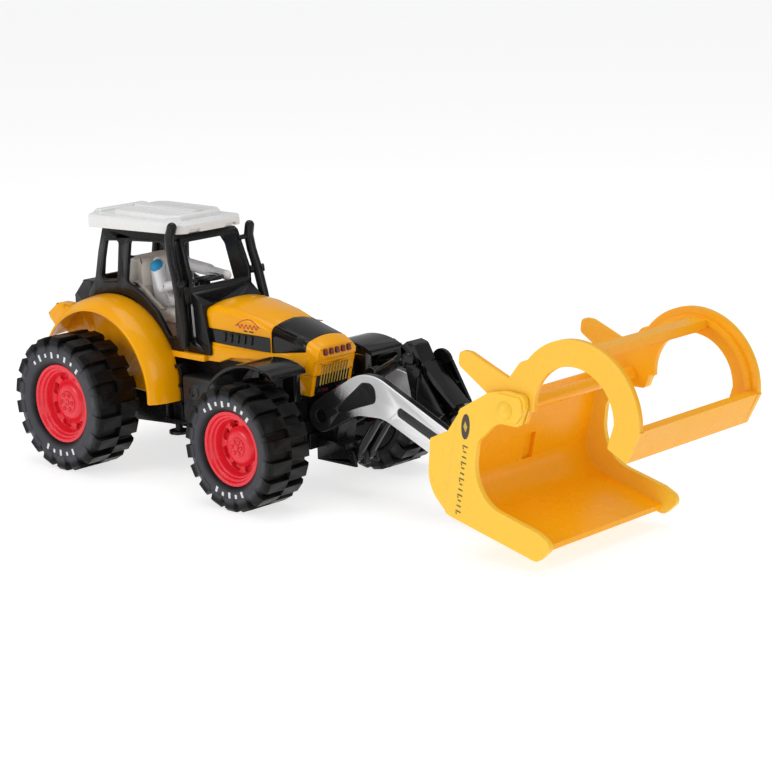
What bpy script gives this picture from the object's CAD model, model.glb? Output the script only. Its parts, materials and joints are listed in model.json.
"""Looks of a toy farm tractor with a front loader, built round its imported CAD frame."""
import json
import logging
import math
from dataclasses import dataclass
from enum import Enum

import bmesh
import bpy
from mathutils import Matrix, Vector
from mathutils.bvhtree import BVHTree


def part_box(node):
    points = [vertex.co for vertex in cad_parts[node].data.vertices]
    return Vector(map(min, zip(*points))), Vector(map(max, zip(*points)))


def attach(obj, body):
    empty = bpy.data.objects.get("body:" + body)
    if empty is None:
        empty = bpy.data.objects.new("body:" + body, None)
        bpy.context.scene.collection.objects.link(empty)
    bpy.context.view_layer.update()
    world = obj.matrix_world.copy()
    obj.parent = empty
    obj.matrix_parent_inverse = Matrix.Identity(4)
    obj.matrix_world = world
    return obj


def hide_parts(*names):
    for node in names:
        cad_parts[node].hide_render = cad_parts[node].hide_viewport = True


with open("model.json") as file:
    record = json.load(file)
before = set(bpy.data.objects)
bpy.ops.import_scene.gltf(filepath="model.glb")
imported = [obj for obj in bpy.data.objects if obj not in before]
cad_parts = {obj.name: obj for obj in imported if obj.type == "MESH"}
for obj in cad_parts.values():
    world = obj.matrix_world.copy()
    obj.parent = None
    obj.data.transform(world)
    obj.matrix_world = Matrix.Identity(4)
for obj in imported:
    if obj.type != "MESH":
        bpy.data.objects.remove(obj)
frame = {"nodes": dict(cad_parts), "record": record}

LOG = logging.getLogger("toy_tractor")
MM = 0.001
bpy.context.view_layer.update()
RGB = tuple[float, float, float]
Stop = tuple[float, float, float]     # one place along a band of ink: x, z and width in millimetres


# ---- where things are ------------------------------------------------------------------------
class Body(Enum):
    """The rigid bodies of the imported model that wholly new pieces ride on."""

    TRACTOR = "tractor"
    REAR_WHEELS = "rear_wheels"
    FRONT_WHEELS = "front_wheels"


def middle(node: str) -> Vector:
    """The centre of a CAD node's box."""
    low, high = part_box(node)
    return (low + high) / 2


def record_lookup() -> tuple[dict[str, str], dict[str, str]]:
    """Read which body each node belongs to and which material slot it uses.

    Returns:
        The body name by node, and the slot name by node.
    """
    record = frame["record"]
    bodies = {n: b for b, members in record["behaviour"]["bodies"].items() for n in members}
    slots = {entry["node"]: entry["material_slot"] for entry in record["subparts"]}
    return bodies, slots


NODE_BODY, NODE_SLOT = record_lookup()
REAR_AXLE = middle("rear_axle")
FRONT_AXLE = middle("front_axle")


def spot(x: float, y: float, z: float) -> Vector:
    """A point in metres, from millimetres ahead of the rear axle, left of centre and above the floor."""
    return Vector((REAR_AXLE.x + x * MM, y * MM, z * MM))


# ---- shader maths ----------------------------------------------------------------------------
class Value:
    """A number that changes over a surface, which adds Math nodes as it is used in sums."""

    def __init__(self, recipe: "Recipe", socket: bpy.types.NodeSocket) -> None:
        """Wrap one output socket of a recipe."""
        self.recipe = recipe
        self.socket = socket

    def _maths(self, operation: str, first: object, second: object) -> "Value":
        """Add one Math node and wrap its result."""
        made = self.recipe.node("ShaderNodeMath", {"operation": operation}, {0: first, 1: second})
        return Value(self.recipe, made.outputs[0])

    def __add__(self, other: object) -> "Value":
        """This value plus another."""
        return self._maths("ADD", self, other)

    __radd__ = __add__

    def __sub__(self, other: object) -> "Value":
        """This value less another."""
        return self._maths("SUBTRACT", self, other)

    def __rsub__(self, other: object) -> "Value":
        """Another value less this one."""
        return self._maths("SUBTRACT", other, self)

    def __mul__(self, other: object) -> "Value":
        """This value times another."""
        return self._maths("MULTIPLY", self, other)

    __rmul__ = __mul__

    def power(self, exponent: float) -> "Value":
        """This value raised to a power."""
        return self._maths("POWER", self, exponent)

    def size(self) -> "Value":
        """This value without its sign."""
        return self._maths("ABSOLUTE", self, 0.0)

    def wave(self) -> "Value":
        """The sine of this value."""
        return self._maths("SINE", self, 0.0)

    def past(self, edge: float, softness: float) -> "Value":
        """A mask that rises smoothly from 0 to 1 around an edge.

        Args:
            edge: The value at which the mask is one half.
            softness: Half the width of the change.

        Returns:
            The mask.
        """
        made = self.recipe.node(
            "ShaderNodeMapRange",
            {"interpolation_type": "SMOOTHSTEP"},
            {"Value": self, "From Min": edge - softness, "From Max": edge + softness},
        )
        return Value(self.recipe, made.outputs[0])


class Recipe:
    """One material being put together from nodes."""

    def __init__(self, name: str) -> None:
        """Start a material with an empty surface shader."""
        self.material = bpy.data.materials.new(name)
        self.material.use_nodes = True
        self.tree = self.material.node_tree
        self.tree.nodes.clear()
        self.shader = self.node("ShaderNodeBsdfPrincipled")
        output = self.node("ShaderNodeOutputMaterial")
        self.tree.links.new(self.shader.outputs[0], output.inputs[0])

    def node(
        self,
        kind: str,
        settings: dict[str, object] | None = None,
        sockets: dict[object, object] | None = None,
    ) -> bpy.types.Node:
        """Add a node, set it up and then feed its sockets.

        Args:
            kind: The node's type.
            settings: Its properties, with "stops" for the stops of a colour ramp.
            sockets: Values or links by input name or number.

        Returns:
            The new node.
        """
        made = self.tree.nodes.new(kind)
        for key, value in (settings or {}).items():
            if key == "stops":
                self._set_stops(made, value)
            else:
                setattr(made, key, value)
        for key, value in (sockets or {}).items():
            self.feed(made.inputs[key], value)
        return made

    def _set_stops(self, ramp: bpy.types.Node, stops: list[tuple[float, RGB]]) -> None:
        """Give a colour ramp its stops."""
        elements = ramp.color_ramp.elements
        while len(elements) < len(stops):
            elements.new(0.5)
        for element, (place, colour) in zip(elements, stops):
            element.position = place
            element.color = (*colour, 1.0)

    def feed(self, socket: bpy.types.NodeSocket, value: object) -> None:
        """Link a value to a socket, or set the socket to a plain number or colour."""
        if isinstance(value, Value):
            value = value.socket
        if isinstance(value, bpy.types.NodeSocket):
            self.tree.links.new(value, socket)
        else:
            socket.default_value = value

    def place(self) -> tuple[Value, Value, Value]:
        """The point on the object, as its X, Y and Z in metres."""
        where = self.node("ShaderNodeTexCoord").outputs["Object"]
        parts = self.node("ShaderNodeSeparateXYZ", None, {0: where})
        return tuple(Value(self, out) for out in parts.outputs)

    def cloud(self, per_metre: float, detail: float = 2.0, stretch: RGB = (1.0, 1.0, 1.0)) -> Value:
        """A smooth random pattern, from 0 to 1.

        Args:
            per_metre: How many blotches lie along a metre.
            detail: How many finer layers are added.
            stretch: A scale for each axis.

        Returns:
            The pattern.
        """
        where = self.node("ShaderNodeTexCoord").outputs["Object"]
        turned = self.node("ShaderNodeMapping", None, {"Vector": where, "Scale": stretch})
        made = self.node(
            "ShaderNodeTexNoise", None, {"Vector": turned.outputs[0], "Scale": per_metre, "Detail": detail}
        )
        return Value(self, made.outputs[0])

    def mixed(self, mask: object, low: object, high: object) -> bpy.types.NodeSocket:
        """Blend two colours by a mask, and return the result's socket."""
        low = (*low, 1.0) if isinstance(low, tuple) and len(low) == 3 else low
        high = (*high, 1.0) if isinstance(high, tuple) and len(high) == 3 else high
        made = self.node("ShaderNodeMix", {"data_type": "RGBA"}, {0: mask, 6: low, 7: high})
        return made.outputs[2]

    def finish(
        self,
        colour: object,
        roughness: object,
        height: Value | None = None,
        depth: float = 0.0,
        **constants: object,
    ) -> bpy.types.Material:
        """Feed the surface shader and hand over the material.

        Args:
            colour: Base colour, as a triple or a link.
            roughness: A number or a value.
            height: A height pattern for the bumps, if any.
            depth: How high the bumps stand, in metres.
            constants: Other shader sockets, with _ for spaces.

        Returns:
            The finished material.
        """
        base = (*colour, 1.0) if isinstance(colour, tuple) else colour
        self.feed(self.shader.inputs["Base Color"], base)
        self.feed(self.shader.inputs["Roughness"], roughness)
        if height is not None:
            bump = self.node("ShaderNodeBump", None, {"Height": height, "Distance": depth, "Strength": 1.0})
            self.feed(self.shader.inputs["Normal"], bump.outputs[0])
        for key, value in constants.items():
            self.feed(self.shader.inputs[key.replace("_", " ")], value)
        return self.material


def shaded(colour: RGB, factor: float) -> RGB:
    """A colour made lighter or darker by a factor."""
    return tuple(min(1.0, part * factor) for part in colour)


# ---- finishes ----------------------------------------------------------------------------------
@dataclass(frozen=True)
class Enamel:
    """Thick gloss enamel sprayed on die-cast metal, with a faint orange peel and pooled edges."""

    name: str
    colour: RGB
    warm: RGB

    def material(self) -> bpy.types.Material:
        """Make the material."""
        recipe = Recipe(self.name)
        drift = recipe.cloud(45.0, 3.0)
        peel = recipe.cloud(900.0, 1.0)
        specks = recipe.cloud(2600.0, 0.0).past(0.79, 0.02)
        _, _, z = recipe.place()
        low = 1.0 - z.past(0.036, 0.02)
        tint = recipe.mixed((drift.past(0.5, 0.25) * 0.45 + low * 0.35), self.colour, self.warm)
        colour = recipe.mixed(specks * 0.25, tint, shaded(self.colour, 0.55))
        roughness = 0.2 + drift * 0.08
        return recipe.finish(
            colour, roughness, peel, 0.000012, Coat_Weight=0.2, Coat_Roughness=0.04, Specular_IOR_Level=0.16
        )


@dataclass(frozen=True)
class Moulded:
    """Injection-moulded plastic: faint flow clouds, a fine tool grain and rubbed patches."""

    name: str
    colour: RGB
    roughness: float = 0.32
    grain: float = 0.000008
    flow: float = 0.25
    glow: float = 0.0
    shine: float = 0.5

    def material(self) -> bpy.types.Material:
        """Make the material."""
        recipe = Recipe(self.name)
        flow = recipe.cloud(38.0, 4.0, (1.0, 1.0, 2.4))
        grain = recipe.cloud(3800.0, 2.0)
        rubbed = recipe.cloud(160.0, 5.0).past(0.62, 0.1)
        dust = recipe.cloud(5200.0, 0.0).past(0.77, 0.02)
        tint = recipe.mixed(flow * self.flow, self.colour, shaded(self.colour, 1.5))
        colour = recipe.mixed(dust * 0.10, tint, (0.42, 0.41, 0.39))
        roughness = self.roughness + rubbed * 0.09 + flow * 0.05
        return recipe.finish(
            colour,
            roughness,
            grain,
            self.grain,
            Subsurface_Weight=self.glow,
            Subsurface_Radius=(0.8, 0.45, 0.1),
            Subsurface_Scale=0.0022,
            Specular_IOR_Level=self.shine,
        )


@dataclass(frozen=True)
class BucketPlastic:
    """Yellow plastic that looks deeper between the side plates, where light passes from wall to wall."""

    name: str
    colour: RGB
    deep: RGB
    within: float

    def material(self) -> bpy.types.Material:
        """Make the material."""
        recipe = Recipe(self.name)
        _, y, _ = recipe.place()
        outside = y.size().past(self.within, 0.0003)
        flow = recipe.cloud(38.0, 4.0, (1.0, 2.4, 1.0))
        grain = recipe.cloud(3800.0, 2.0)
        rubbed = recipe.cloud(120.0, 5.0).past(0.6, 0.1)
        scratches = recipe.cloud(420.0, 3.0, (0.12, 1.0, 1.0)).past(0.68, 0.03)
        tint = recipe.mixed(outside, self.deep, self.colour)
        clouded = recipe.mixed(flow * 0.1, tint, shaded(self.deep, 0.92))
        colour = recipe.mixed(scratches * 0.12, clouded, shaded(self.colour, 1.1))
        roughness = 0.27 + rubbed * 0.08 + scratches * 0.1
        return recipe.finish(
            colour,
            roughness,
            grain,
            0.000006,
            Subsurface_Weight=0.08,
            Subsurface_Radius=(0.8, 0.4, 0.05),
            Subsurface_Scale=0.002,
            Specular_IOR_Level=0.3,
        )


@dataclass(frozen=True)
class TyreRubber:
    """Black rubber with a satin side wall ring and a duller, dustier tread."""

    name: str
    centre: Vector
    bead: float
    tread: float

    def material(self) -> bpy.types.Material:
        """Make the material, with its rings centred on the wheel."""
        recipe = Recipe(self.name)
        x, y, z = recipe.place()
        across = x - self.centre.x
        up = z - self.centre.z
        radius = (across * across + up * up).power(0.5)
        outer = (y - self.centre.y).size().past(0.0415, 0.0006)
        side = radius.past(self.bead + 0.0012, 0.0012) * (1.0 - radius.past(self.tread, 0.0010)) * outer
        fine = recipe.cloud(2400.0, 3.0)
        dust = recipe.cloud(190.0, 5.0).past(0.58, 0.12)
        ribs = (radius * 9000.0).wave() * 0.5 + 0.5
        tone = recipe.mixed(side, (0.0035, 0.0032, 0.003), (0.055, 0.056, 0.064))
        colour = recipe.mixed(dust * 0.05, tone, (0.16, 0.15, 0.14))
        roughness = 0.36 + dust * 0.14 + side * 0.1
        height = fine * 0.6 + ribs * side * 0.5
        return recipe.finish(colour, roughness, height, 0.000022, Specular_IOR_Level=0.16)


@dataclass(frozen=True)
class SprayedArm:
    """Bright silver sprayed on a black moulding, which fades out round the hub and in the recesses."""

    name: str
    hub: Vector
    outer_face: float
    inner_face: float

    def material(self) -> bpy.types.Material:
        """Make the material, with its fade centred on the hub."""
        recipe = Recipe(self.name)
        x, y, z = recipe.place()
        across = x - self.hub.x
        up = z - self.hub.z
        mist = recipe.cloud(1500.0, 3.0)
        drift = recipe.cloud(150.0, 2.0)
        reach = across + up * 0.9 + (mist - 0.5) * 0.006 + (drift - 0.5) * 0.006
        sprayed = reach.past(0.0205, 0.0062)
        proud = y.size().past(self.outer_face - 0.0003, 0.00016)
        inside = 1.0 - y.size().past(self.inner_face + 0.0003, 0.00016)
        mask = sprayed * (proud + inside)
        flakes = recipe.cloud(9000.0, 1.0)
        silver = recipe.mixed(flakes, (0.72, 0.73, 0.75), (0.95, 0.95, 0.96))
        colour = recipe.mixed(mask, (0.014, 0.014, 0.015), silver)
        roughness = 0.36 - mask * 0.08 + mist * 0.05
        return recipe.finish(colour, roughness, flakes, 0.000005, Metallic=mask * 0.35)


@dataclass(frozen=True)
class Plated:
    """Bright plated steel with fine drawn lines."""

    name: str
    colour: RGB = (0.62, 0.61, 0.59)

    def material(self) -> bpy.types.Material:
        """Make the material."""
        recipe = Recipe(self.name)
        lines = recipe.cloud(900.0, 3.0, (1.0, 9.0, 1.0))
        stain = recipe.cloud(240.0, 4.0)
        colour = recipe.mixed(stain.past(0.6, 0.15) * 0.4, self.colour, shaded(self.colour, 0.55))
        return recipe.finish(colour, 0.24 + lines * 0.18, lines, 0.00001, Metallic=1.0)


@dataclass(frozen=True)
class PaintedFigure:
    """Matt figure paint, with a second colour over a ball round each of two points."""

    name: str
    colour: RGB
    patch: RGB
    centres: tuple[Vector, Vector]
    reach: float

    def material(self) -> bpy.types.Material:
        """Make the material."""
        recipe = Recipe(self.name)
        x, y, z = recipe.place()
        blot = recipe.cloud(700.0, 2.0)
        mask: object = 0.0
        for centre in self.centres:
            dx, dy, dz = x - centre.x, y - centre.y, z - centre.z
            distance = (dx * dx + dy * dy + dz * dz).power(0.5) + (blot - 0.5) * 0.001
            mask = (1.0 - distance.past(self.reach, 0.0002)) + mask
        strokes = recipe.cloud(420.0, 4.0)
        base = recipe.mixed(strokes * 0.25, self.colour, shaded(self.colour, 0.78))
        return recipe.finish(recipe.mixed(mask, base, self.patch), 0.5 + blot * 0.15, blot, 0.00003)


@dataclass(frozen=True)
class FigureHead:
    """Matt skin paint below the edge of a blue cap."""

    name: str
    edge: float

    def material(self) -> bpy.types.Material:
        """Make the material, with the cap painted above its edge."""
        recipe = Recipe(self.name)
        _, _, z = recipe.place()
        blot = recipe.cloud(700.0, 2.0)
        warm = recipe.mixed(blot, (0.66, 0.37, 0.24), (0.58, 0.29, 0.18))
        cap = z.past(self.edge, 0.00008)
        colour = recipe.mixed(cap, warm, (0.012, 0.14, 0.36))
        return recipe.finish(colour, 0.48 + blot * 0.12, blot, 0.00002)


@dataclass(frozen=True)
class Printed:
    """Pad-printed ink, slightly uneven at its edges."""

    name: str
    colour: RGB
    roughness: float = 0.4

    def material(self) -> bpy.types.Material:
        """Make the material."""
        recipe = Recipe(self.name)
        wear = recipe.cloud(2200.0, 4.0)
        colour = recipe.mixed(wear.past(0.6, 0.12) * 0.3, self.colour, shaded(self.colour, 0.7))
        return recipe.finish(colour, self.roughness + wear * 0.1, wear, 0.000004)


YELLOW = Enamel("yellow_enamel", (0.97, 0.43, 0.0), (0.90, 0.33, 0.0))
BUCKET_YELLOW = BucketPlastic("bucket_plastic", (0.97, 0.60, 0.055), (0.98, 0.44, 0.002), 0.0309)
CLAW_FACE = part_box("grapple_frame")[1].y
CLAW_YELLOW = BucketPlastic("claw_plastic", (0.97, 0.56, 0.050), (0.97, 0.44, 0.012), CLAW_FACE - 0.0006)
SATIN_BLACK = Moulded("satin_black_plastic", (0.0065, 0.0065, 0.0072), 0.22, shine=0.30)
GLOSS_BLACK = Moulded("gloss_black_plastic", (0.0048, 0.0048, 0.0052), 0.12, 0.000003, shine=0.32)
TANK_GREY = Moulded("tank_plastic", (0.020, 0.020, 0.023), 0.28, shine=0.35)
RED = Moulded("red_rim_plastic", (0.80, 0.018, 0.035), 0.22, 0.000004, 0.15, 0.06)
WHITE = Moulded("white_roof_plastic", (0.80, 0.80, 0.79), 0.24, 0.000005, 0.05, 0.05)
SEAT = Moulded("seat_plastic", (0.84, 0.76, 0.67), 0.38, 0.000008, 0.12, 0.1)
STEEL = Plated("plated_steel")
LAMP_RED = Moulded("lamp_red", (0.16, 0.012, 0.018), 0.18, 0.000003)
GOLD_INK = Printed("gold_ink", (0.62, 0.40, 0.06), 0.32)
WHITE_INK = Printed("white_ink", (0.72, 0.73, 0.74))
RED_INK = Printed("red_ink", (0.55, 0.03, 0.015))
BLACK_INK = Printed("black_ink", (0.016, 0.015, 0.015), 0.35)
BROWN_INK = Printed("brown_ink", (0.050, 0.034, 0.024), 0.35)

_made: dict[str, bpy.types.Material] = {}


def material_of(finish: object) -> bpy.types.Material:
    """The material of a finish, made once."""
    if finish.name not in _made:
        _made[finish.name] = finish.material()
    return _made[finish.name]


# ---- pieces --------------------------------------------------------------------------------------
SHARP = math.radians(34.0)     # edges turned more than this stay sharp or are rounded
FLAT = math.radians(0.4)       # faces turned less than this lie in one plane
WELD = 2e-6                    # vertices closer than this are one
INK_HEIGHT = 0.00005
CLEAR_OF_MODEL = 60.0          # millimetres from the centre plane, beyond every side
SIDES = (("right", -1.0), ("left", 1.0))


def link(name: str, shape: bmesh.types.BMesh, finish: object, body: str) -> bpy.types.Object:
    """Turn a bmesh into a finished piece that rides on a body.

    Args:
        name: The piece's name.
        shape: Its shape, which is freed.
        finish: The finish it wears.
        body: The CAD body it rides on.

    Returns:
        The new object.
    """
    mesh = bpy.data.meshes.new(name)
    shape.to_mesh(mesh)
    shape.free()
    mesh.shade_smooth()
    mesh.set_sharp_from_angle(angle=SHARP)
    mesh.materials.append(material_of(finish))
    piece = bpy.data.objects.new(name, mesh)
    bpy.context.scene.collection.objects.link(piece)
    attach(piece, body)
    LOG.info("%s: %d faces on %s", name, len(mesh.polygons), body)
    return piece


def flatten(shape: bmesh.types.BMesh, splits: tuple[float, ...]) -> None:
    """Merge a shape's flat triangles into large faces, but never across some upright planes.

    Args:
        shape: The shape to change.
        splits: Where the planes cut the X axis, each one through a hole, so that no face surrounds it.
    """
    for place in splits:
        geometry = shape.verts[:] + shape.edges[:] + shape.faces[:]
        cut = bmesh.ops.bisect_plane(
            shape, geom=geometry, dist=1e-7, plane_co=(place, 0, 0), plane_no=(1, 0, 0)
        )
        for item in cut["geom_cut"]:
            if isinstance(item, bmesh.types.BMEdge):
                item.seam = True
    bmesh.ops.dissolve_limit(shape, angle_limit=FLAT, verts=shape.verts, edges=shape.edges, delimit={"SEAM"})


def rounded(
    node: str,
    finish: object,
    radius: float,
    segments: int = 2,
    splits: tuple[float, ...] = (),
    held: bool = False,
) -> None:
    """Replace a CAD node by a copy whose sharp edges are rounded.

    Args:
        node: The CAD node.
        finish: The finish it wears.
        radius: How far the rounding reaches from an edge, in metres.
        segments: How many faces go round an edge.
        splits: Planes for merging the flat triangles first, where thin ones would spoil the rounding.
        held: Whether the rounding shrinks where it would reach past a neighbouring edge.
    """
    shape = bmesh.new()
    shape.from_mesh(frame["nodes"][node].data)
    bmesh.ops.remove_doubles(shape, verts=shape.verts, dist=WELD)
    if splits:
        flatten(shape, splits)
    piece = link(node + "_finished", shape, finish, NODE_BODY[node])
    edge = piece.modifiers.new("rounded edges", "BEVEL")
    edge.width = radius
    edge.segments = segments
    edge.limit_method = "ANGLE"
    edge.angle_limit = SHARP
    edge.harden_normals = True
    edge.use_clamp_overlap = held
    edge.miter_outer = "MITER_ARC"
    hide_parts(node)


def dress(node: str, finish: object) -> None:
    """Give a CAD node that is shown as it is a finish of its own."""
    shown = frame["nodes"][node]
    shown.data.materials.clear()
    shown.data.materials.append(material_of(finish))
    LOG.info("%s: dressed in %s", node, finish.name)


def slab(size: Vector, at: Matrix, edge: float, segments: int = 2) -> bmesh.types.BMesh:
    """A block with rounded edges.

    Args:
        size: Its length along each axis.
        at: Where it goes.
        edge: The rounding of its edges.
        segments: How many faces go round an edge.

    Returns:
        The shape.
    """
    shape = bmesh.new()
    bmesh.ops.create_cube(shape, size=1.0, matrix=Matrix.Diagonal((*size, 1.0)))
    bmesh.ops.bevel(
        shape,
        geom=shape.edges[:],
        offset=edge,
        segments=segments,
        affect="EDGES",
        profile=0.5,
        material=-1,
        clamp_overlap=True,
    )
    bmesh.ops.transform(shape, matrix=at, verts=shape.verts)
    return shape


def add(shape: bmesh.types.BMesh, other: bmesh.types.BMesh) -> None:
    """Move the whole of another shape into this one."""
    carrier = bpy.data.meshes.new("carrier")
    other.to_mesh(carrier)
    other.free()
    shape.from_mesh(carrier)
    bpy.data.meshes.remove(carrier)


def printed(
    name: str, node: str, finish: object, strips: list[list[Stop]], side: float, layers: int = 1
) -> None:
    """Print bands of ink on one side of a CAD node, following its surface.

    Args:
        name: The piece's name.
        node: The node that is printed on.
        finish: The ink.
        strips: Bands, each a list of (x, z, width) in millimetres from below the rear axle.
        side: -1.0 for the right side, 1.0 for the left.
        layers: How many layers of ink lie here, with this one on top.
    """
    surface = bmesh.new()
    surface.from_mesh(frame["nodes"][node].data)
    tree = BVHTree.FromBMesh(surface)
    surface.free()
    shape = bmesh.new()
    for strip in strips:
        rows = []
        for index, (x, z, width) in enumerate(strip):
            before = strip[max(index - 1, 0)]
            after = strip[min(index + 1, len(strip) - 1)]
            across = Vector((before[1] - after[1], after[0] - before[0])).normalized() * width / 2
            row = []
            for part in (-1.0, 0.0, 1.0):
                start = spot(x + across.x * part, side * CLEAR_OF_MODEL, z + across.y * part)
                place, normal, _, _ = tree.ray_cast(start, Vector((0.0, -side, 0.0)))
                row.append(shape.verts.new(place + normal * INK_HEIGHT * layers))
            rows.append(row)
        for first, second in zip(rows, rows[1:]):
            for left in (0, 1):
                corners = (first[left], second[left], second[left + 1], first[left + 1])
                shape.faces.new(corners if side > 0 else corners[::-1])
    bmesh.ops.recalc_face_normals(shape, faces=shape.faces)
    for face in shape.faces:
        if face.normal.y * side < 0:
            face.normal_flip()
    piece = link(name, shape, finish, NODE_BODY[node])


# ---- sub-assemblies --------------------------------------------------------------------------------
@dataclass
class Wheels:
    """Four lugged tyres on red rims, with pale marks round each outer side wall.

    Lengths are in metres and the step between marks is in degrees.
    """

    mark_depth: float = 0.00018
    mark_width: float = 0.0011
    mark_length: float = 0.0026
    upper_marks: int = 8
    lower_marks: int = 5
    step: float = 11.5
    short_mark: float = 0.55
    mark_edge: float = 0.00007
    wall_dip: float = 0.00031       # side wall behind the tyre's widest part
    lug_height: float = 0.0019
    mark_place: float = 0.46        # share of the way from the bead to the lugs
    tread_depth: float = 0.0032
    tyre_edge: float = 0.00022
    rim_edge: float = 0.00016

    def build(self) -> None:
        """Dress the axles, tyres and rims, and print the side walls."""
        for end, centre in (("rear", REAR_AXLE), ("front", FRONT_AXLE)):
            dress(end + "_axle", STEEL)
            for side in ("right", "left"):
                tyre = f"{end}_tyre_{side}"
                low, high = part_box(tyre)
                rim_low, rim_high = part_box(f"{end}_rim_{side}")
                radius = (high.x - low.x) / 2
                bead = (rim_high.x - rim_low.x) / 2
                hub = Vector((centre.x, 0.0, centre.z))
                rubber = TyreRubber(f"{end}_tyre_rubber", hub, bead, radius - self.tread_depth)
                rounded(tyre, rubber, self.tyre_edge, held=True)
                rounded(f"{end}_rim_{side}", RED, self.rim_edge)
                self.print_marks(end, side, centre, radius, bead)

    def print_marks(self, end: str, side: str, centre: Vector, radius: float, bead: float) -> None:
        """Print two arcs of pale marks on one tyre's outer side wall.

        Args:
            end: Rear or front.
            side: Right or left.
            centre: The middle of the axle.
            radius: The tyre's radius.
            bead: The radius of its rim.
        """
        low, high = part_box(f"{end}_tyre_{side}")
        face = low.y + self.wall_dip if side == "right" else high.y - self.wall_dip
        at_radius = bead + (radius - self.lug_height - bead) * self.mark_place
        shape = bmesh.new()
        arcs = ((90.0, self.upper_marks), (270.0, self.lower_marks))
        for middle_angle, count in arcs:
            for index in range(count):
                angle = math.radians(middle_angle + (index - (count - 1) / 2) * self.step)
                spin = Matrix.Rotation(-angle, 4, "Y")
                out = Matrix.Translation((at_radius, 0, 0))
                place = Matrix.Translation((centre.x, face, centre.z)) @ spin @ out
                length = self.mark_length * (self.short_mark if index % 2 else 1.0)
                size = Vector((length, self.mark_depth, self.mark_width))
                add(shape, slab(size, place, self.mark_edge, 1))
        body = Body.REAR_WHEELS if end == "rear" else Body.FRONT_WHEELS
        piece = link(f"{end}_tyre_marks_{side}", shape, WHITE_INK, body.value)


@dataclass
class Casting:
    """The yellow hood, nose and fenders, with the black trim let into them.

    Places and sizes are in millimetres, and the lean of the grille is in degrees.
    """

    bar_count: int = 10
    bar_spread: float = 12.4
    bar_height: float = 40.9
    bar_size: tuple[float, float, float] = (0.22, 0.56, 7.0)
    bar_edge: float = 0.00004       # in metres, like every rounding
    casting_edge: float = 0.00035
    cap_edge: float = 0.0003
    grille_edge: float = 0.00006
    strip_edge: float = 0.0001
    vent_edge: float = 0.00018
    lamp_across: float = 3.3
    lamp_height: float = 35.4
    lamp_size: tuple[float, float, float] = (0.22, 2.7, 1.0)
    lean: float = 14.4
    nose_ahead: float = 96.85
    arch_rear: tuple[float, float] = (61.8, 54.9)
    arch_length: float = 11.2
    arch_rise: float = 2.9
    ripple_rear: tuple[float, float] = (62.6, 55.3)
    ripple_length: float = 9.6
    ripple_rise: float = 0.75
    dash_width: float = 0.5

    def build(self) -> None:
        """Dress the casting and its trim, and add the grille bars, lamps and hood marks."""
        rounded("body_shell", YELLOW, self.casting_edge)
        rounded("bonnet_cap", GLOSS_BLACK, self.cap_edge)
        rounded("grille", SATIN_BLACK, self.grille_edge, 1)
        rounded("light_strip", LAMP_RED, self.strip_edge)
        for side in ("right", "left"):
            rounded(f"vent_strip_{side}", GLOSS_BLACK, self.vent_edge)
        self.gild_grille()
        self.print_hood()

    def on_grille(self, y: float, z: float, size: tuple[float, float, float]) -> bmesh.types.BMesh:
        """A small rounded bar lying on the leaning grille.

        Args:
            y: Its place across the grille, in millimetres.
            z: Its height above the floor, in millimetres.
            size: How far it stands out, its width and its length, in millimetres.

        Returns:
            The bar's shape.
        """
        ahead = self.nose_ahead + (z - self.bar_height) * math.tan(math.radians(self.lean))
        place = Matrix.Translation(spot(ahead, y, z)) @ Matrix.Rotation(math.radians(self.lean), 4, "Y")
        return slab(Vector(size) * MM, place, self.bar_edge, 1)

    def gild_grille(self) -> None:
        """Lay the gold bars and the two red lamps on the grille."""
        bars = bmesh.new()
        for index in range(self.bar_count):
            y = (index / (self.bar_count - 1) - 0.5) * self.bar_spread
            add(bars, self.on_grille(y, self.bar_height, self.bar_size))
        link("grille_gold_bars", bars, GOLD_INK, Body.TRACTOR.value)
        lamps = bmesh.new()
        for y in (-self.lamp_across, self.lamp_across):
            add(lamps, self.on_grille(y, self.lamp_height, self.lamp_size))
        link("grille_lamps", lamps, LAMP_RED, Body.TRACTOR.value)

    def print_hood(self) -> None:
        """Print a plain red arch over a ripple, with two dark dashes, on each side of the hood."""
        x, z = self.arch_rear
        arch = [
            (x + self.arch_length * t / 14, z + self.arch_rise * math.sin(math.pi * (t + 0.4) / 15), 0.30)
            for t in range(15)
        ]
        x, z = self.ripple_rear
        ripple = [
            (x + self.ripple_length * t / 36, z + self.ripple_rise * math.sin(t * 0.9), 0.42)
            for t in range(37)
        ]
        width = self.dash_width
        dashes = [[(65.6, 53.75, width), (67.3, 53.70, width)], [(68.1, 53.68, width), (70.2, 53.62, width)]]
        for name, side in SIDES:
            printed(f"hood_arch_{name}", "body_shell", RED_INK, [arch, ripple], side)
            printed(f"hood_dashes_{name}", "body_shell", BLACK_INK, dashes, side)


@dataclass
class Cab:
    """The black cab frame with its roof, fittings and pipes."""

    edge: float = 0.0003
    wheel_edge: float = 0.0001
    seat_edge: float = 0.0005
    pipe_edge: float = 0.0002

    def build(self) -> None:
        """Dress every piece of the cab."""
        rounded("cab_frame", SATIN_BLACK, self.edge)
        rounded("cab_roof", WHITE, self.edge)
        rounded("rear_box", SATIN_BLACK, self.edge)
        rounded("steering_console", SATIN_BLACK, self.edge)
        rounded("steering_wheel", GLOSS_BLACK, self.wheel_edge)
        rounded("seat", SEAT, self.seat_edge)
        for side in ("right", "left"):
            rounded(f"pillar_pipe_{side}", SATIN_BLACK, self.pipe_edge)


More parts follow.
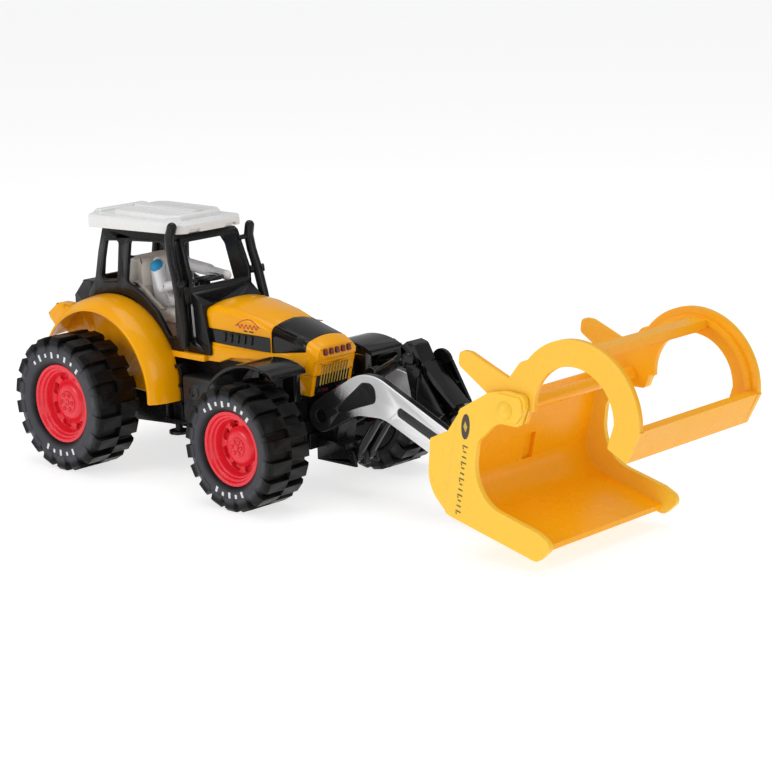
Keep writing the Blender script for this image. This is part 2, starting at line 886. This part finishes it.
@dataclass
class Driver:
    """The seated driver, in a white shirt with blue shoulder patches.

    Places are in millimetres and sizes in metres.
    """

    cap_edge: float = 79.15
    patch_reach: float = 0.0030
    body_edge: float = 0.0003
    head_edge: float = 0.0001
    eye_place: tuple[float, float, float] = (19.45, 0.95, 78.15)
    eye_size: tuple[float, float, float] = (0.0002, 0.0003, 0.00036)
    mouth_place: tuple[float, float, float] = (19.36, 0.0, 76.5)
    mouth_size: tuple[float, float, float] = (0.00026, 0.0012, 0.0002)

    def build(self) -> None:
        """Dress the figure."""
        shoulders = (spot(16.9, -8.7, 72.0), spot(16.1, 8.7, 71.2))
        white = (0.84, 0.83, 0.83)
        blue = (0.01, 0.28, 0.55)
        shirt = PaintedFigure("figure_shirt", white, blue, shoulders, self.patch_reach)
        rounded("driver_body", shirt, self.body_edge)
        rounded("driver_head", FigureHead("figure_head", self.cap_edge * MM), self.head_edge)
        self.make_face()

    def make_face(self) -> None:
        """Set two small eyes and a short, level mouth on the front of the head."""
        shape = bmesh.new()
        x, y, z = self.eye_place
        for _, side in SIDES:
            eye = Matrix.Translation(spot(x, side * y, z)) @ Matrix.Diagonal((*self.eye_size, 1.0))
            bmesh.ops.create_uvsphere(shape, u_segments=12, v_segments=8, radius=1.0, matrix=eye)
        mouth = Matrix.Translation(spot(*self.mouth_place))
        add(shape, slab(Vector(self.mouth_size), mouth, 0.00006, 2))
        link("driver_face", shape, BLACK_INK, Body.TRACTOR.value)


@dataclass
class Underside:
    """The black base and the things that hang from it."""

    base_edge: float = 0.00025
    step_edge: float = 0.0002
    edge: float = 0.0003

    def build(self) -> None:
        """Dress every piece under the casting."""
        for node in ("chassis", "tow_hitch", "loader_mount", "step_feet"):
            rounded(node, SATIN_BLACK, self.base_edge)
        dress("chassis_screws", STEEL)
        for side in ("right", "left"):
            rounded(f"side_steps_{side}", SATIN_BLACK, self.step_edge)
            rounded(f"fuel_tank_{side}", TANK_GREY, self.edge)
            rounded(f"front_fender_{side}", GLOSS_BLACK, self.edge)


@dataclass
class Loader:
    """The arms, their cylinders and the crank that tilts the bucket."""

    arm_edge: float = 0.0003
    link_edge: float = 0.0002
    barrel_edge: float = 0.0001

    def build(self) -> None:
        """Dress every piece of the loader."""
        hub = middle("arm_pivot_pin")
        low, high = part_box("loader_arm_right")
        spray = SprayedArm("sprayed_silver", Vector((hub.x, 0.0, hub.z)), -low.y, -high.y)
        for side in ("right", "left"):
            rounded(f"loader_arm_{side}", spray, self.arm_edge)
        for node in ("arm_pivot_pin", "arm_pins", "crank_pin", "lift_base_pin"):
            dress(node, SATIN_BLACK)
        for node in ("linkage_bracket", "tilt_crank", "tilt_barrel"):
            rounded(node, GLOSS_BLACK, self.link_edge)
        rounded("lift_barrels", GLOSS_BLACK, self.barrel_edge)
        dress("lift_rods", STEEL)
        dress("tilt_rod", STEEL)


@dataclass
class Bucket:
    """The yellow bucket and grapple, with the black carrier behind.

    The badge and the marks are placed in millimetres; the other sizes are in metres.
    """

    mouth_behind: float = 0.0195
    ring_ahead: float = 0.0238
    bar_ahead: float = 0.0271
    edge: float = 0.00035
    pin_edge: float = 0.0001
    carrier_edge: float = 0.00025
    badge: tuple[float, float] = (184.6, 41.9)
    badge_half_height: float = 4.1
    badge_half_width: float = 1.65
    gem_half_height: float = 1.7
    gem_width: float = 1.5
    mark_count: int = 13
    first_mark: tuple[float, float] = (184.3, 35.6)
    last_mark: tuple[float, float] = (180.8, 14.4)
    mark_reaches: tuple[float, float, float] = (1.0, 0.6, 0.85)

    def build(self) -> None:
        """Dress the bucket, the grapple and what joins them."""
        pivot = middle("grapple_pins").x
        mouth = (pivot - self.mouth_behind, pivot)
        rings = (pivot, pivot + self.ring_ahead, pivot + self.bar_ahead)
        rounded("bucket_shell", BUCKET_YELLOW, self.edge, splits=mouth, held=True)
        rounded("grapple_frame", CLAW_YELLOW, self.edge, splits=rings, held=True)
        rounded("grapple_pins", BUCKET_YELLOW, self.pin_edge)
        rounded("bucket_carrier", GLOSS_BLACK, self.carrier_edge)
        self.print_sides()

    def print_sides(self) -> None:
        """Print a plain oval badge with a column of short marks on each side plate."""
        x, z = self.badge
        oval = []
        for t in range(-12, 13):
            width = 2 * self.badge_half_width * math.sqrt(1.0 - (t / 12) ** 2)
            oval.append((x + 0.04 * t, z + self.badge_half_height * t / 12, max(0.05, width)))
        gem = []
        for t in range(-4, 5):
            gem.append((x, z + self.gem_half_height * t / 4, 0.1 + self.gem_width * (1.0 - abs(t) / 4)))
        marks = []
        for index in range(self.mark_count):
            share = index / (self.mark_count - 1)
            x = self.first_mark[0] + (self.last_mark[0] - self.first_mark[0]) * share
            z = self.first_mark[1] + (self.last_mark[1] - self.first_mark[1]) * share
            reach = self.mark_reaches[index % 3]
            marks.append([(x - reach, z + 0.25 * reach, 0.42), (x + reach, z - 0.25 * reach, 0.42)])
            if index % 3 == 0:
                marks.append([(x - 0.9, z - 0.2, 0.36), (x - 0.75, z - 1.0, 0.36)])
        for name, side in SIDES:
            printed(f"bucket_badge_{name}", "bucket_shell", BROWN_INK, [oval] + marks, side)
            printed(f"bucket_gem_{name}", "bucket_shell", GOLD_INK, [gem], side, 2)


@dataclass
class Studio:
    """A plain pale floor, soft lights and the camera.

    The camera's lens, distance and aim are in millimetres, its angles in degrees, the rest in metres.
    """

    lens: float = 106.63
    sensor: float = 36.0
    azimuth: float = 43.24
    elevation: float = 13.12
    roll: float = -1.71
    distance: float = 762.78
    aim: tuple[float, float, float] = (120.85, 0.0, 39.89)
    room: float = 0.46
    room_colour: RGB = (0.98, 0.985, 1.0)
    floor_reach: float = 6.0
    floor_grey: float = 0.45
    floor_glow: float = 0.70
    lit_point: tuple[float, float, float] = (0.0, 0.0, 0.04)
    furthest_seen: float = 20.0

    def build(self) -> None:
        """Set up the floor, the lights and the camera."""
        self.make_floor()
        self.make_lights()
        self.make_camera()

    def make_floor(self) -> None:
        """Lay a wide pale floor under the model."""
        shape = bmesh.new()
        bmesh.ops.create_grid(shape, x_segments=1, y_segments=1, size=self.floor_reach)
        mesh = bpy.data.meshes.new("floor")
        shape.to_mesh(mesh)
        shape.free()
        grey = (self.floor_grey, self.floor_grey, self.floor_grey)
        glow = {"Emission_Color": (1.0, 1.0, 1.0, 1.0), "Emission_Strength": self.floor_glow}
        mesh.materials.append(Recipe("pale_floor").finish(grey, 0.7, **glow))
        floor = bpy.data.objects.new("floor", mesh)
        bpy.context.scene.collection.objects.link(floor)

    def make_lights(self) -> None:
        """Hang soft boxes above, in front and to each side, in an even white room."""
        world = bpy.data.worlds.new("white room")
        world.use_nodes = True
        background = world.node_tree.nodes["Background"]
        background.inputs["Color"].default_value = (*self.room_colour, 1.0)
        background.inputs["Strength"].default_value = self.room
        bpy.context.scene.world = world
        target = Vector(self.lit_point)
        boxes = (
            ("top box", (-0.05, 0.05, 0.95), 0.7, 3.0),
            ("side box", (-0.35, -0.95, 0.45), 0.5, 3.0),
            ("front box", (1.00, -0.35, 0.45), 0.5, 1.6),
        )
        for name, place, size, power in boxes:
            light = bpy.data.lights.new(name, "AREA")
            light.shape = "SQUARE"
            light.size = size
            light.energy = power
            lamp = bpy.data.objects.new(name, light)
            lamp.location = place
            lamp.rotation_euler = (target - Vector(place)).to_track_quat("-Z", "Y").to_euler()
            bpy.context.scene.collection.objects.link(lamp)

    def make_camera(self) -> None:
        """Stand the camera ahead of the tractor's right side, a little above it."""
        turn, tilt, roll = (math.radians(a) for a in (self.azimuth, self.elevation, self.roll))
        back = Vector((math.sin(turn) * math.cos(tilt), -math.cos(turn) * math.cos(tilt), math.sin(tilt)))
        right = Vector((0, 0, 1)).cross(back).normalized()
        up = back.cross(right)
        side = right * math.cos(roll) + up * math.sin(roll)
        top = up * math.cos(roll) - right * math.sin(roll)
        data = bpy.data.cameras.new("camera")
        data.lens = self.lens
        data.sensor_width = self.sensor
        data.clip_end = self.furthest_seen
        camera = bpy.data.objects.new("camera", data)
        place = Matrix((side, top, back)).transposed().to_4x4()
        place.translation = spot(*self.aim) + back * self.distance * MM
        camera.matrix_world = place
        bpy.context.scene.collection.objects.link(camera)
        bpy.context.scene.camera = camera
        bpy.context.scene.view_settings.view_transform = "Standard"


def main() -> None:
    """Build every sub-assembly in order, then the studio."""
    logging.basicConfig(level=logging.INFO, format="%(message)s")
    for part in (Wheels(), Casting(), Cab(), Driver(), Underside(), Loader(), Bucket(), Studio()):
        part.build()
        LOG.info("%s done", type(part).__name__)


if __name__ == "__main__":
    main()
